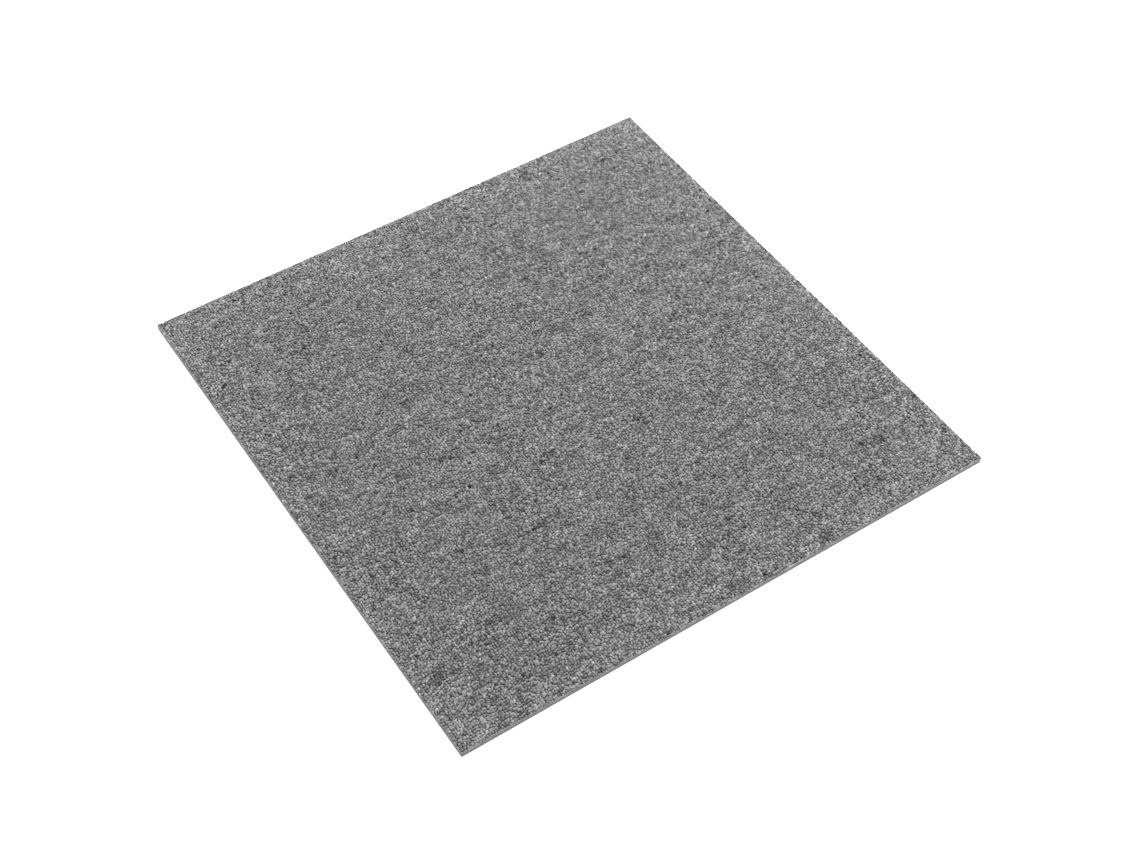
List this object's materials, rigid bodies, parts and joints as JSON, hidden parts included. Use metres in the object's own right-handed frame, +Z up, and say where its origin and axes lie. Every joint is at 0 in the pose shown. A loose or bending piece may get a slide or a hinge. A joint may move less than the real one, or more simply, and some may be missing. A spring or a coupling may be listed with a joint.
{
  "type": "carpet tile",
  "caption": "Square carpet tile with a low, level loop pile in straight tuft rows, bonded to a thin heavy backing sheet, for laying edge to edge on a floor.",
  "frame": {"origin": "middle of the underside, on the floor plane", "axes": "+Z up out of the pile; the tuft rows run along Y and are stacked along X"},
  "size_m": [0.5, 0.5, 0.006],
  "materials": {
    "loop_pile": "matte heathered grey looped yarn",
    "backing_sheet": "matte dark grey, finely grained"
  },
  "bodies": {
    "root": {"tufted_pile": "loop_pile", "backing": "backing_sheet"}
  },
  "joints": []
}
